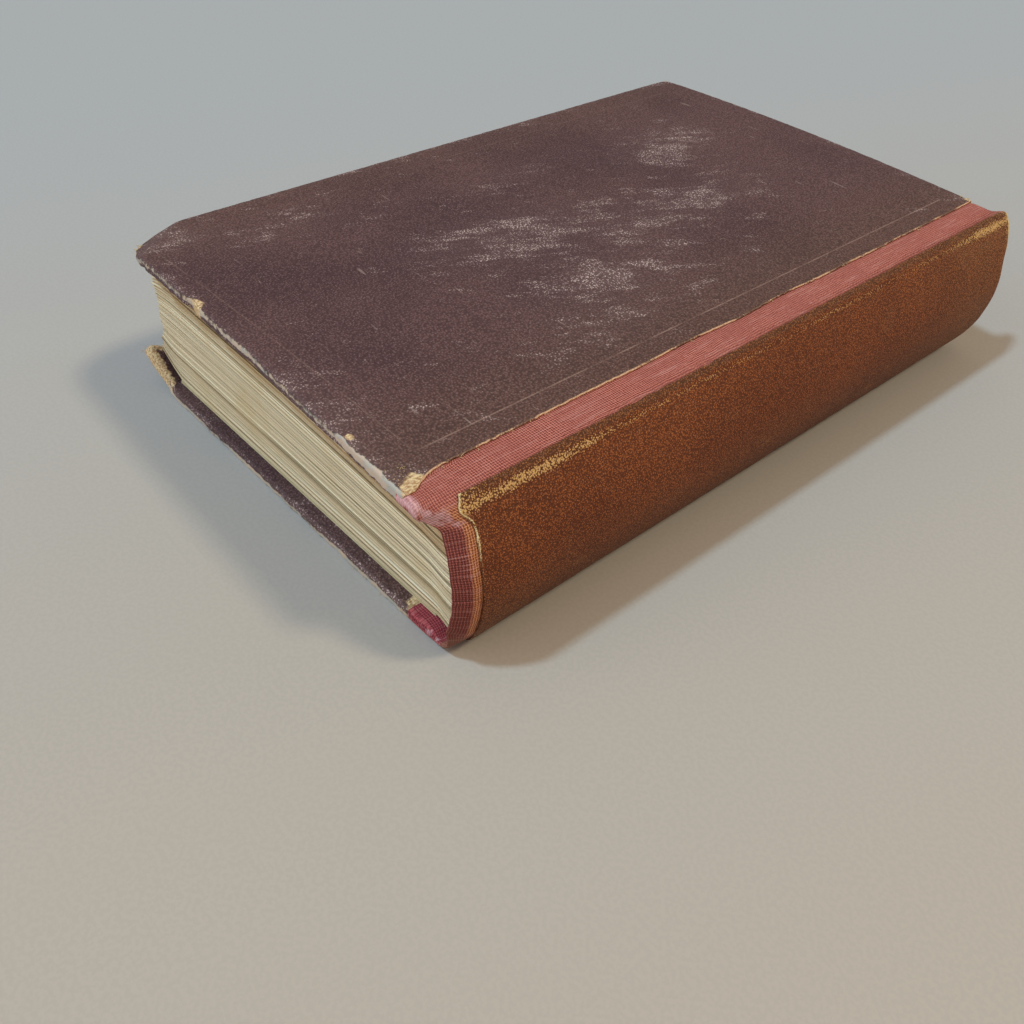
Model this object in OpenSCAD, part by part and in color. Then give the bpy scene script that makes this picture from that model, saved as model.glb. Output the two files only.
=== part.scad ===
// Old cloth-bound octavo book, lying closed on its front cover.
// The spine has been renewed in woven cloth, with the old spine cloth laid back on it.
// X runs from the fore-edge to the spine, Y from the tail to the head, Z up from the table.

/* [Book] */
// Height of each board along the spine, over its cloth
board_h = 190; // [140:1:320]
// Width of each board from its fore-edge to its joint, over its cloth
board_w = 118; // [90:1:220]
// Thickness of the closed book at its joints, over both covers
book_t = 42.9; // [30:0.1:70]

/* [Covers] */
// Thickness of the millboard in each cover
board_t = 2.3; // [1.5:0.1:4]
// Thickness of the covering cloth and of the repair cloth on the boards
cloth_t = 0.35; // [0.2:0.05:0.6]
// Thickness of the endpaper glued to the inner face of each board
paste_t = 0.2; // [0.1:0.05:0.5]
// Width of the cloth turned in over the inner face of each board
turn_in = 14; // [8:0.5:22]
// Margin of turned-in cloth that the pasted endpaper leaves bare
paste_margin = 3.5; // [2:0.5:7]
// Rise of the warped back board at the middle of its width
back_bow = 1.3; // [0:0.1:3]
// Radius of the worn corners of the boards
corner_r = 2.4; // [0.8:0.1:6]
// Width of the repair cloth that shows on each board beside the joint
strip_w = 5; // [3:0.5:12]
// Width of the repair cloth that is tucked under the old cloth
tuck_w = 8; // [4:0.5:16]

/* [Wear and racking] */
// How far the front board stands out past the back board at the fore-edge
front_out = 5.5; // [0:0.5:8]
// How far the lower board lies toward the head at its fore-edge
rack_fore = 1; // [0:0.1:3]
// How far the lower end of the spine lies toward the head
rack_spine = 5.4; // [0:0.1:8]
// Length of the bent-down corner of the back board along its tail edge
back_fold_x = 14; // [8:1:22]
// Length of the bent-down corner of the back board along its fore-edge
back_fold_y = 16; // [8:1:24]
// Angle by which that corner is bent down
back_fold_a = 17; // [4:1:25]
// Length of the turned-up corner of the front board along its tail edge
front_fold_x = 12.5; // [8:0.5:20]
// Length of the turned-up corner of the front board along its fore-edge
front_fold_y = 22; // [10:1:30]
// Angle by which that corner is turned up
front_fold_a = 42; // [10:1:48]

/* [Text block] */
// Number of gatherings sewn into the block
gatherings = 18; // [8:1:28]
// Distance of the leaves from the tail and head edges of the back board
square_back = 4.8; // [3.6:0.1:7]
// Distance of the leaves from the tail and head edges of the front board
square_front = 3.6; // [3.4:0.1:7]
// Distance of the leaves from the fore-edge of each board
square_fore = 4.4; // [2.5:0.1:8]
// Depth of the hollow that rounding has left in the fore-edge
fore_hollow = 1; // [0:0.1:3]
// Most that one gathering stands proud of the others at an edge
uneven = 0.3; // [0:0.05:0.6]
// Thickness of each free endpaper
leaf_t = 0.25; // [0.15:0.05:0.6]
// Clearance between the covers and the leaves
leaf_gap = 0.3; // [0.15:0.05:0.6]
// How far the lowest gatherings sink into the open joint of the front board
shoulder_drop = 1.85; // [0:0.05:2]

/* [Spine] */
// Height of the rounded back over the line of its two shoulders
spine_round = 7.8; // [5:0.1:10]
// Distance from the back board's edge to the shoulder line of the spine
spine_offset = 2.5; // [2.2:0.1:5]
// Height of the lower shoulder of the spine over the table
shoulder_low = 1.5; // [1.3:0.1:3]
// Thickness of the old spine cloth with its paper, laid on the repair cloth
panel_t = 0.55; // [0.3:0.05:1]
// Thickness of the repair cloth round the spine
spine_cloth_t = 0.5; // [0.3:0.05:0.9]
// Thickness of the paper stiffener inside the spine cloth
inlay_t = 0.6; // [0.3:0.05:1.2]
// Thickness of the mull glued over the backs of the gatherings
mull_t = 0.3; // [0.2:0.05:0.6]
// Air space of the hollow back
hollow = 0.4; // [0.2:0.05:1]
// Radial thickness of the cloth rolled over at tail and head
roll_t = 3; // [1.2:0.1:3.6]
// Length along the spine of that roll
roll_l = 3; // [1.5:0.1:3.2]
// Distance from the tail end of the spine to the old cloth at the upper shoulder
panel_tail_top = 8; // [4:0.5:20]
// Distance from the tail end of the spine to the old cloth at the lower shoulder
panel_tail_low = 3.7; // [3.5:0.1:20]
// Distance from the old cloth to the head end of the spine
panel_head = 1.5; // [0.5:0.5:12]
// Distance of the mull from the tail and head ends of the spine
mull_margin = 20; // [12:1:40]
// Width of the mull flange glued to each board
flange_w = 20; // [10:1:35]
// Width of the fold line in the cloth at each joint
joint_gap = 0.4; // [0.3:0.1:1]

/* [Hidden] */
$fn = 96;

// Longer than anything in the book, for cutting bodies
far = 2 * (board_h + board_w);
// Overlap of the two halves of a folded sheet along their mitre
seam = 0.01;
// Glue line between concentric layers of the spine
glue = 0.05;

cover_t = 2 * cloth_t + board_t + paste_t;
// Depth below a cover's outer face at which its inner layers start
inner_depth = cloth_t + board_t;

front_x0 = -front_out;
front_x1 = front_x0 + board_w;
back_x1 = board_w;
back_hinge_x = back_x1 + spine_offset / 2;

// The round of the spine: a circle through both shoulders and the crown
crown_x = back_x1 + spine_offset + spine_round;
half_chord = (book_t - shoulder_low) / 2;
spine_r = (pow(half_chord, 2) + pow(spine_round, 2)) / (2 * spine_round);
spine_cx = crown_x - spine_r;
spine_cz = shoulder_low + half_chord;
spine_a = asin(half_chord / spine_r);

cloth_r = spine_r - panel_t - glue;
inlay_r = cloth_r - spine_cloth_t - glue;
mull_r = inlay_r - inlay_t - hollow;
block_r = mull_r - mull_t - glue;

// Heights of the lowest and the highest leaf where they lie flat
leaf_low = cover_t + leaf_gap + leaf_t;
leaf_high = book_t - leaf_low;
shoulder_x = sqrt(pow(block_r, 2) - pow(spine_cz - leaf_low + shoulder_drop, 2)) + spine_cx;
drop_x0 = front_x1 + joint_gap;

origin_x = (front_x0 + crown_x) / 2;
origin_y = (board_h + rack_spine) / 2;

board_steps = 12;
shoulder_steps = 4;
corner_steps = 6;

function ease(u) = let (s = max(0, min(1, u))) s * s * (3 - 2 * s);

// Places across the book at which the warp of the back board turns
function warp_x(i) = board_w * i / board_steps;
function warp_rise(i) = back_bow * 4 * i * (board_steps - i) / pow(board_steps, 2);
function warp_between(xa, xb) =
    [for (i = [0:board_steps]) if (warp_x(i) > xa + seam && warp_x(i) < xb - seam) warp_x(i)];

// Rise of the back board at x
function bow(x) =
    let (u = board_steps * max(0, min(1, x / board_w)), i = min(board_steps - 1, floor(u)))
    warp_rise(i) + (u - i) * (warp_rise(i + 1) - warp_rise(i));

// Height of a layer that lies at a depth below the outer face of a cover
function layer_z(side, x, depth) = side == "front" ? depth : book_t + bow(x) - depth;

// Tail edge of a cover at x: the front board is out of square with the back one
function front_tail(x) =
    rack_fore + (rack_spine - rack_fore) * (x - front_x0) / (back_x1 + spine_offset - front_x0);
function tail_y(side, x) = side == "front" ? front_tail(x) : 0;

// Tail end of the spine at a height: it leans from the back board to the front one
function spine_tail(z) = rack_spine * (1 - z / book_t);

function fore_x(side) = side == "front" ? front_x0 : 0;

function arc(cx, cy, r, a0, a1) =
    [for (i = [0:corner_steps]) let (a = a0 + (a1 - a0) * i / corner_steps)
        [cx + r * cos(a), cy + r * sin(a)]];

// Plan of a cover's layer, inset from its edges, with worn corners at the fore-edge
function plan_points(side, inset, xa, xb) =
    let (r = max(0.2, corner_r - inset),
         tail = tail_y(side, xa) + inset,
         head = tail_y(side, xa) + board_h - inset)
    concat(
        [[xb, tail_y(side, xb) + inset], [xb, tail_y(side, xb) + board_h - inset]],
        arc(xa + r, head - r, r, 90, 180),
        arc(xa + r, tail + r, r, 180, 270));

function backwards(list) = [for (i = [len(list) - 1:-1:0]) list[i]];

// Section of a cover's layer between two depths
function section_points(side, xa, xb, d0, d1) =
    let (xs = concat([xa], side == "front" ? [] : warp_between(xa, xb), [xb]))
    concat(
        [for (x = xs) [x, layer_z(side, x, d0)]],
        backwards([for (x = xs) [x, layer_z(side, x, d1)]]));

// Draws a section in X and Z along Y
module along_y(y0, y1) {
    translate([0, y1, 0]) rotate([90, 0, 0]) linear_extrude(y1 - y0) children();
}

// One flat or bowed layer of a cover
module layer(side, d0, d1, inset, xa, xb) {
    intersection() {
        along_y(-far / 4, far) polygon(section_points(side, xa, xb, d0, d1));
        translate([0, 0, -far / 4]) linear_extrude(far) polygon(plan_points(side, inset, xa, xb));
    }
}

// Frame of a corner's fold line: X along the fold, Y toward the corner, Z at the outer face
function fold_legs(side) =
    side == "front" ? [front_fold_x, front_fold_y] : [back_fold_x, back_fold_y];
function fold_angle(side) = side == "front" ? front_fold_a : -back_fold_a;
function fold_dir(side) = atan2(fold_legs(side)[1], -fold_legs(side)[0]);
function fold_at(side) =
    let (x = fore_x(side) + fold_legs(side)[0])
    [x, tail_y(side, x), layer_z(side, x, 0)];

module to_fold(side) {
    translate(fold_at(side)) rotate([0, 0, fold_dir(side)]) children();
}

module from_fold(side) {
    rotate([0, 0, -fold_dir(side)]) translate(-fold_at(side)) children();
}

// Bends the tail corner of a sheet along the fold, with a mitre where it turns
module folded(side) {
    a = fold_angle(side);
    to_fold(side) {
        intersection() {
            from_fold(side) children();
            rotate([a / 2, 0, 0]) translate([-far, seam - far, -far]) cube([2 * far, far, 2 * far]);
        }
        rotate([a, 0, 0]) intersection() {
            from_fold(side) children();
            rotate([-a / 2, 0, 0]) translate([-far, 0, -far]) cube(2 * far);
        }
    }
}

// Everything nearer to the outer face of a bent corner than this depth
module corner_space(side, depth) {
    to_fold(side) rotate([fold_angle(side), 0, 0])
        translate([-far, 0, side == "front" ? depth - 2 * far : -depth])
            cube([2 * far, far, 2 * far]);
}

module placed() {
    translate([-origin_x, -origin_y, 0]) children();
}

// Covers

module board_body(side) {
    x0 = fore_x(side);
    x1 = x0 + board_w;
    difference() {
        layer(side, cloth_t, inner_depth, cloth_t, x0 + cloth_t, x1);
        // Rebate that lets the tucked repair cloth in
        layer(side, 0, 2 * cloth_t, 0, x1 - strip_w - tuck_w, x1 + 1);
    }
}

module cloth_body(side) {
    x0 = fore_x(side);
    x1 = x0 + board_w;
    difference() {
        layer(side, 0, inner_depth + cloth_t, 0, x0, x1 - strip_w);
        layer(side, cloth_t, inner_depth, cloth_t, x0 + cloth_t, x1);
        layer(side, board_t, cover_t, turn_in, x0 + turn_in, x1);
    }
}

module joint_cloth_body(side) {
    x1 = fore_x(side) + board_w;
    seam_x = x1 - strip_w;
    // The repair cloth of the back board runs on past the board to the fold line of its joint
    x_end = side == "back" ? back_hinge_x - joint_gap / 2 : x1;
    layer(side, cloth_t, 2 * cloth_t, cloth_t, seam_x - tuck_w, seam_x + seam);
    square_end_layer(side, cloth_t, 2 * cloth_t, 0, x1 - seam, x_end);
    difference() {
        square_end_layer(side, cloth_t, inner_depth + cloth_t, 0, seam_x, x1);
        square_end_layer(side, 2 * cloth_t, inner_depth, cloth_t, seam_x - 1, x1 + 1);
        square_end_layer(side, board_t, cover_t, turn_in, seam_x - 1, x1 + 1);
    }
}

// A layer of the strip beside the joint, whose ends keep their square corners
module square_end_layer(side, d0, d1, inset, xa, xb) {
    intersection() {
        along_y(-far / 4, far) polygon(section_points(side, xa, xb, d0, d1));
        translate([0, 0, -far / 4]) linear_extrude(far) polygon([
            for (x = [xa, xb]) [x, tail_y(side, x) + inset],
            for (x = [xb, xa]) [x, tail_y(side, x) + board_h - inset]
        ]);
    }
}

module flange_body(side) {
    x1 = fore_x(side) + board_w;
    square_end_layer(side, inner_depth, inner_depth + mull_t, mull_margin, x1 - flange_w, x1);
}

module pastedown_body(side) {
    x0 = fore_x(side);
    x1 = x0 + board_w;
    difference() {
        union() {
            layer(side, inner_depth + cloth_t, cover_t, paste_margin, x0 + paste_margin, x1);
            layer(side, inner_depth, cover_t, turn_in, x0 + turn_in, x1);
        }
        flange_body(side);
    }
}

module front_board() color("tan") placed() folded("front") board_body("front");
module back_board() color("tan") placed() folded("back") board_body("back");
module front_cloth() color([0.27, 0.19, 0.2]) placed() folded("front") cloth_body("front");
module back_cloth() color([0.33, 0.24, 0.25]) placed() folded("back") cloth_body("back");
module front_joint_cloth() color([0.45, 0.15, 0.19]) placed() joint_cloth_body("front");
module back_joint_cloth() color([0.63, 0.33, 0.34]) placed() joint_cloth_body("back");
module front_mull_flange() color("wheat") placed() flange_body("front");
module back_mull_flange() color("wheat") placed() flange_body("back");
module front_pastedown() color("ivory") placed() folded("front") pastedown_body("front");
module back_pastedown() color("ivory") placed() folded("back") pastedown_body("back");

// Leaves

module flyleaf_body(side) {
    x0 = fore_x(side) + square_fore;
    square_end = side == "front" ? square_front : square_back;
    layer(side, cover_t + leaf_gap, cover_t + leaf_gap + leaf_t, square_end, x0, front_x1);
}

module front_flyleaf() color("ivory") placed() folded("front") flyleaf_body("front");
module back_flyleaf() color("ivory") placed() folded("back") flyleaf_body("back");

// Height of a leaf at x, where level runs from 0 for the lowest leaf to 1 for the highest
function leaf_z(level, x) =
    let (low = leaf_low - shoulder_drop * ease((x - drop_x0) / (shoulder_x - drop_x0)))
    low + level * (leaf_high + bow(x) - low);

// Fore-edge of a leaf: the block leans out over the front board and is hollowed
function leaf_fore(level) =
    front_x0 + square_fore + front_out * level + fore_hollow * 4 * level * (1 - level);

// The line of one leaf from its fore-edge to the rounded back
function leaf_line(level) =
    let (x0 = leaf_fore(level),
         z1 = leaf_z(level, shoulder_x),
         x1 = spine_cx + sqrt(pow(block_r, 2) - pow(z1 - spine_cz, 2)))
    concat(
        [for (x = concat([x0], warp_between(x0, drop_x0))) [x, leaf_z(level, x)]],
        [for (i = [0:shoulder_steps - 1])
            let (x = drop_x0 + (shoulder_x - drop_x0) * i / shoulder_steps)
            [x, leaf_z(level, x)]],
        [[x1, z1]]);

// Tail edge of a leaf at x, between the squares of the two boards
function leaf_tail(level, x) =
    (1 - level) * (front_tail(x) + square_front) + level * square_back;
function leaf_head(level, x) =
    (1 - level) * (front_tail(x) + board_h - square_front) + level * (board_h - square_back);

// One gathering, with its own small step at tail and head
module gathering(k) {
    level0 = k / gatherings;
    level1 = (k + 1) / gatherings;
    mid = (level0 + level1) / 2;
    tail_step = uneven * sin(k * 137);
    head_step = uneven * sin(k * 97 + 40);
    xa = front_x0;
    xb = crown_x;
    intersection() {
        along_y(-far / 4, far) polygon(concat(leaf_line(level0), backwards(leaf_line(level1))));
        translate([0, 0, -far / 4]) linear_extrude(far) polygon([
            for (x = [xa, xb]) [x, leaf_tail(mid, x) + tail_step],
            for (x = [xb, xa]) [x, leaf_head(mid, x) + head_step]
        ]);
    }
}

module text_block() color([0.76, 0.72, 0.56]) placed() difference() {
    union() for (k = [0:gatherings - 1]) gathering(k);
    corner_space("front", leaf_low);
    corner_space("back", leaf_low);
}

// Spine

// Space between the slanted tail and head ends of the spine
module spine_ends(tail_top, tail_low, head_top, head_low) {
    translate([-far / 4, 0, 0]) rotate([90, 0, 90]) linear_extrude(far) polygon([
        [spine_tail(0) + tail_low, 0],
        [spine_tail(0) + board_h - head_low, 0],
        [board_h - head_top, book_t],
        [tail_top, book_t]
    ]);
}

// Part of a tube about the centre of the round, open toward the leaves
module spine_shell(r_in, r_out, half_a) {
    reach = 2 * spine_r;
    intersection() {
        translate([spine_cx, far / 2, spine_cz]) rotate([90, 0, 0]) difference() {
            cylinder(r = r_out, h = far);
            translate([0, 0, -1]) cylinder(r = r_in, h = far + 2);
        }
        along_y(-far / 4, far) translate([spine_cx, spine_cz]) polygon([
            [0, 0],
            [reach * cos(half_a), -reach * sin(half_a)],
            [reach, 0],
            [reach * cos(half_a), reach * sin(half_a)]
        ]);
    }
}

module spine_mull() color("wheat") placed() intersection() {
    spine_shell(mull_r - mull_t, mull_r, spine_a - 4);
    spine_ends(mull_margin, mull_margin, mull_margin, mull_margin);
}

module spine_inlay() color("burlywood") placed() intersection() {
    spine_shell(inlay_r - inlay_t, inlay_r, spine_a - 1);
    spine_ends(roll_l + glue, roll_l + glue, roll_l + glue, roll_l + glue);
}

// Flat tongue of the spine cloth under the open joint of the front board
module lower_tongue() {
    x_end = spine_cx + cloth_r * cos(spine_a);
    z_end = spine_cz - cloth_r * sin(spine_a);
    slope = tan(spine_a);
    z0 = cloth_t;
    x_turn = x_end - (z_end - z0) / slope;
    along_y(-far / 4, far) polygon([
        [drop_x0, z0],
        [x_turn, z0],
        [x_end + seam, z_end + seam],
        [x_end + seam - spine_cloth_t * cos(spine_a), z_end + seam + spine_cloth_t * sin(spine_a)],
        [x_turn - spine_cloth_t * tan(spine_a / 2), z0 + spine_cloth_t],
        [drop_x0, z0 + spine_cloth_t]
    ]);
}

// Tongue of the spine cloth that reaches the joint of the back board
module upper_tongue() {
    x_end = spine_cx + cloth_r * cos(spine_a);
    z_end = spine_cz + cloth_r * sin(spine_a);
    x0 = back_hinge_x + joint_gap / 2;
    along_y(-far / 4, far) polygon([
        [x0, z_end - spine_cloth_t],
        [x_end + seam - spine_cloth_t * cos(spine_a), z_end - seam - spine_cloth_t * sin(spine_a)],
        [x_end + seam, z_end - seam],
        [x0, z_end]
    ]);
}

module spine_cloth() color([0.55, 0.25, 0.27]) placed() {
    intersection() {
        union() {
            spine_shell(cloth_r - spine_cloth_t, cloth_r, spine_a);
            lower_tongue();
            upper_tongue();
        }
        spine_ends(0, 0, 0, 0);
    }
    difference() {
        intersection() {
            spine_shell(cloth_r - roll_t, cloth_r, spine_a - 1);
            spine_ends(0, 0, 0, 0);
        }
        spine_ends(roll_l, roll_l, roll_l, roll_l);
    }
}

module spine_panel() color([0.45, 0.27, 0.15]) placed() intersection() {
    spine_shell(spine_r - panel_t, spine_r, spine_a);
    spine_ends(panel_tail_top, panel_tail_low, panel_head, panel_head);
}

text_block();
front_flyleaf();
back_flyleaf();
spine_mull();
spine_inlay();
spine_cloth();
spine_panel();
front_board();
front_cloth();
front_joint_cloth();
front_mull_flange();
front_pastedown();
back_board();
back_cloth();
back_joint_cloth();
back_mull_flange();
back_pastedown();
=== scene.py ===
import math
import random

import bmesh
import bpy
from mathutils import Matrix, Vector, noise


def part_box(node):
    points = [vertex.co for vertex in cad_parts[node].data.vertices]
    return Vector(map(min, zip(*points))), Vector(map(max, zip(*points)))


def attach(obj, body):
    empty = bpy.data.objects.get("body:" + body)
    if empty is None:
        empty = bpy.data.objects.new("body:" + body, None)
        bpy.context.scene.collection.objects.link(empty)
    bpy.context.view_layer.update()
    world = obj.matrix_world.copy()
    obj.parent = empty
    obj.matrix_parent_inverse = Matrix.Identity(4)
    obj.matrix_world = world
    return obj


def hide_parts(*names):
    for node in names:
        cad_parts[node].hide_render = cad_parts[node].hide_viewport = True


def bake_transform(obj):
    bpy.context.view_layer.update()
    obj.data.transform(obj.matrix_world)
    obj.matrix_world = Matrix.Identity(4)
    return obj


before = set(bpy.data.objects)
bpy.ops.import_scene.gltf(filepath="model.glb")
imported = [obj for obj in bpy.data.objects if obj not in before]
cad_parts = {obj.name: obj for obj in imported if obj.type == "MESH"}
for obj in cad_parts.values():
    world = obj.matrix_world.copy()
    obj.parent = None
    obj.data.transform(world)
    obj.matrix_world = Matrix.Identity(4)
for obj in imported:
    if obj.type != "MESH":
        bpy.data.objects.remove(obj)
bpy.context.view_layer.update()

# Block of pages: folded gatherings of old rag paper, sewn through their folds and glued at the
# back. The block has racked, so its leaves lean out at the fore-edge and sink at the lower joint.
# Everything on the book is drawn in millimetres from the tail end of the back board's fore-edge.
MM = 0.001
FORE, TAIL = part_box("back_cloth")[0].xy
PLACE = Matrix.Translation((FORE, TAIL, 0)) @ Matrix.Scale(MM, 4)

# Sizes of the cased book, from the CAD, and how far it has bowed and racked.
BOOK_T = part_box("spine_panel")[1].z / MM
BOARD_W = (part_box("back_board")[1].x - FORE) / MM
BOARD_H = (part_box("back_cloth")[1].y - TAIL) / MM
CROWN_X = (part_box("spine_panel")[1].x - FORE) / MM
FRONT_FORE = (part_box("front_cloth")[0].x - FORE) / MM
WARP = 1.3
RACK_FORE, RACK_SPINE = 1.0, 5.4
JOINT_MIDDLE = 2.5
RACK_RUN = BOARD_W + JOINT_MIDDLE - FRONT_FORE

# Round of the back, seen from the tail: a circle through both joints and the crown.
SHOULDER_LOW = 1.5
HALF_CHORD = (BOOK_T - SHOULDER_LOW) / 2
ROUND = 7.8
SPINE_R = (HALF_CHORD ** 2 + ROUND ** 2) / (2 * ROUND)
SPINE_X, SPINE_Z = CROWN_X - SPINE_R, SHOULDER_LOW + HALF_CHORD
BACKING_T = 2.5
BLOCK_R = SPINE_R - BACKING_T

# Lowest leaf, its drop at the lower joint, and the squares between the leaves and the boards.
LEAF_LOW = 3.75
SHOULDER_DROP, DROP_FROM, DROP_RUN = 1.85, 112.9, 6.0
SQUARE_BACK, SQUARE_FRONT, SQUARE_FORE = 4.8, 3.6, 4.4
FORE_HOLLOW = 1.0
BANDS = 118
GATHERINGS = 18


def ease(t):
    """0 before t = 0, 1 past t = 1, and smooth between them."""
    t = max(0.0, min(1.0, t))
    return t * t * (3 - 2 * t)


def nearness(distance, reach):
    """1 at no distance, 0 from that reach on, and straight between them."""
    return max(0.0, 1 - distance / reach)


def warp(x):
    """How far the back board is bowed up."""
    across = max(0.0, min(1.0, x / BOARD_W))
    return WARP * 4 * across * (1 - across)


def front_tail(x):
    """Where the racked front board has its tail edge."""
    return RACK_FORE + (RACK_SPINE - RACK_FORE) * (x - FRONT_FORE) / RACK_RUN


class Cover:
    """One cover as it lies on the block. A point of it has a distance a from the fore-edge, b from
    the tail edge and a depth under the outer face. The tail corner is bent along a fold line that
    meets those edges at the ends of its two legs."""

    BEND_R = 4.5
    LIFT_SOFT, LIFT_FROM = 1.5, -6

    def __init__(self, fore, tail, outer, inward, legs, bend_deg):
        self.fore, self.tail, self.outer, self.inward = fore, tail, outer, inward
        self.reach = 1 / math.hypot(1 / legs[0], 1 / legs[1])
        self.legs, self.bend = legs, math.radians(bend_deg)
        self.toward = Vector((-1 / legs[0], -1 / legs[1])) * self.reach

    def past_fold(self, a, b):
        """How far past the fold line a point lies, from its distances to fore-edge and tail."""
        return (1 - a / self.legs[0] - b / self.legs[1]) * self.reach

    def point(self, a, b, depth):
        """Where a point lies, from its distances to the fore-edge, the tail and the outer face."""
        x, y = self.fore + a, self.tail(self.fore + a) + b
        z = self.outer(x)
        arc = self.BEND_R * self.bend
        past = self.past_fold(a, b) + arc / 2
        turn = max(0.0, min(1.0, past / arc)) * self.bend
        if past > 0:
            straight = max(0.0, past - arc)
            along = self.BEND_R * math.sin(turn) + straight * math.cos(turn) - past
            fall = self.BEND_R * (1 - math.cos(turn)) + straight * math.sin(turn)
        else:
            along = fall = 0.0
        shift = self.toward * (along - depth * math.sin(turn))
        return Vector((x + shift.x, y + shift.y, z + self.inward * (fall + depth * math.cos(turn))))

    def lift(self, x, y):
        """How far the bent corner pushes the leaves beside it."""
        past = self.past_fold(x - self.fore, y - self.tail(x)) + LEAF_LOW * math.tan(self.bend / 2)
        if past <= self.LIFT_FROM:
            return 0.0
        return math.tan(self.bend) * (past + math.sqrt(past * past + self.LIFT_SOFT)) / 2


BACK = Cover(0.0, lambda x: 0.0, lambda x: BOOK_T + warp(x), -1, (14, 16), 23)
FRONT = Cover(FRONT_FORE, front_tail, lambda x: 0.0, 1, (12.5, 22), 42)


def sheet(columns, rows, shape):
    """A mesh of columns by rows cells whose point (i, j) lies where shape(i, j) says."""
    bm = bmesh.new()
    bmesh.ops.create_grid(bm, x_segments=columns, y_segments=rows, size=0.5)
    for v in bm.verts:
        v.co = shape(round((v.co.x + 0.5) * columns), round((v.co.y + 0.5) * rows))
    return bm


def paint(bm, **layers):
    """Gives every vertex named values, from functions of its place in millimetres."""
    for name, value in layers.items():
        layer = bm.verts.layers.float.new(name)
        for v in bm.verts:
            v[layer] = value(v.co)


def unwrap(bm, name, place):
    """Gives a mesh a UV map, from a function of each of its points."""
    layer = bm.loops.layers.uv.new(name)
    for f in bm.faces:
        for loop in f.loops:
            loop[layer].uv = place(loop.vert)


def show(name, data):
    """Puts a new object with that mesh, light or camera in the scene."""
    made = bpy.data.objects.new(name, data)
    bpy.context.scene.collection.objects.link(made)
    return made


def bind(bm, name, finish, body=None, stands_for=(), angle=50):
    """Puts a mesh drawn in millimetres in its place on the book and gives it its finish."""
    bm.transform(PLACE)
    for f in bm.faces:
        f.smooth = True
    sharp = math.radians(angle)
    for e in bm.edges:
        e.smooth = len(e.link_faces) != 2 or e.calc_face_angle(0) < sharp
    mesh = bpy.data.meshes.new(name)
    bm.to_mesh(mesh)
    bm.free()
    piece = show(name, mesh)
    mesh.materials.append(finish.material)
    if stands_for:
        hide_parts(*stands_for)
    if body:
        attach(piece, body)
    return piece


def dye(red, green, blue):
    """A colour as it looks on the book, from 0 to 255, for the shader."""
    def linear(c):
        c /= 255
        return c / 12.92 if c <= 0.04045 else ((c + 0.055) / 1.055) ** 2.4
    return (linear(red), linear(green), linear(blue), 1.0)


class Wire:
    """A value on its way through a finish, so that masks can be written as plain sums."""

    def __init__(self, finish, socket):
        self.finish, self.socket = finish, socket

    def math(self, operation, *values):
        return self.finish.node("ShaderNodeMath", {"operation": operation}, dict(enumerate(values)))

    def __add__(self, other):
        return self.math("ADD", self, other)

    def __sub__(self, other):
        return self.math("SUBTRACT", self, other)

    def __rsub__(self, other):
        return self.math("SUBTRACT", other, self)

    def __mul__(self, other):
        return self.math("MULTIPLY", self, other)

    __radd__, __rmul__ = __add__, __mul__

    def sine(self):
        return self.math("SINE", self)

    def most(self, other):
        return self.math("MAXIMUM", self, other)

    def rise(self, low, high):
        """0 before low, 1 past high, and smooth between them."""
        return self.finish.node("ShaderNodeMapRange", {"interpolation_type": "SMOOTHSTEP"},
                                {"Value": self, "From Min": low, "From Max": high})


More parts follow.
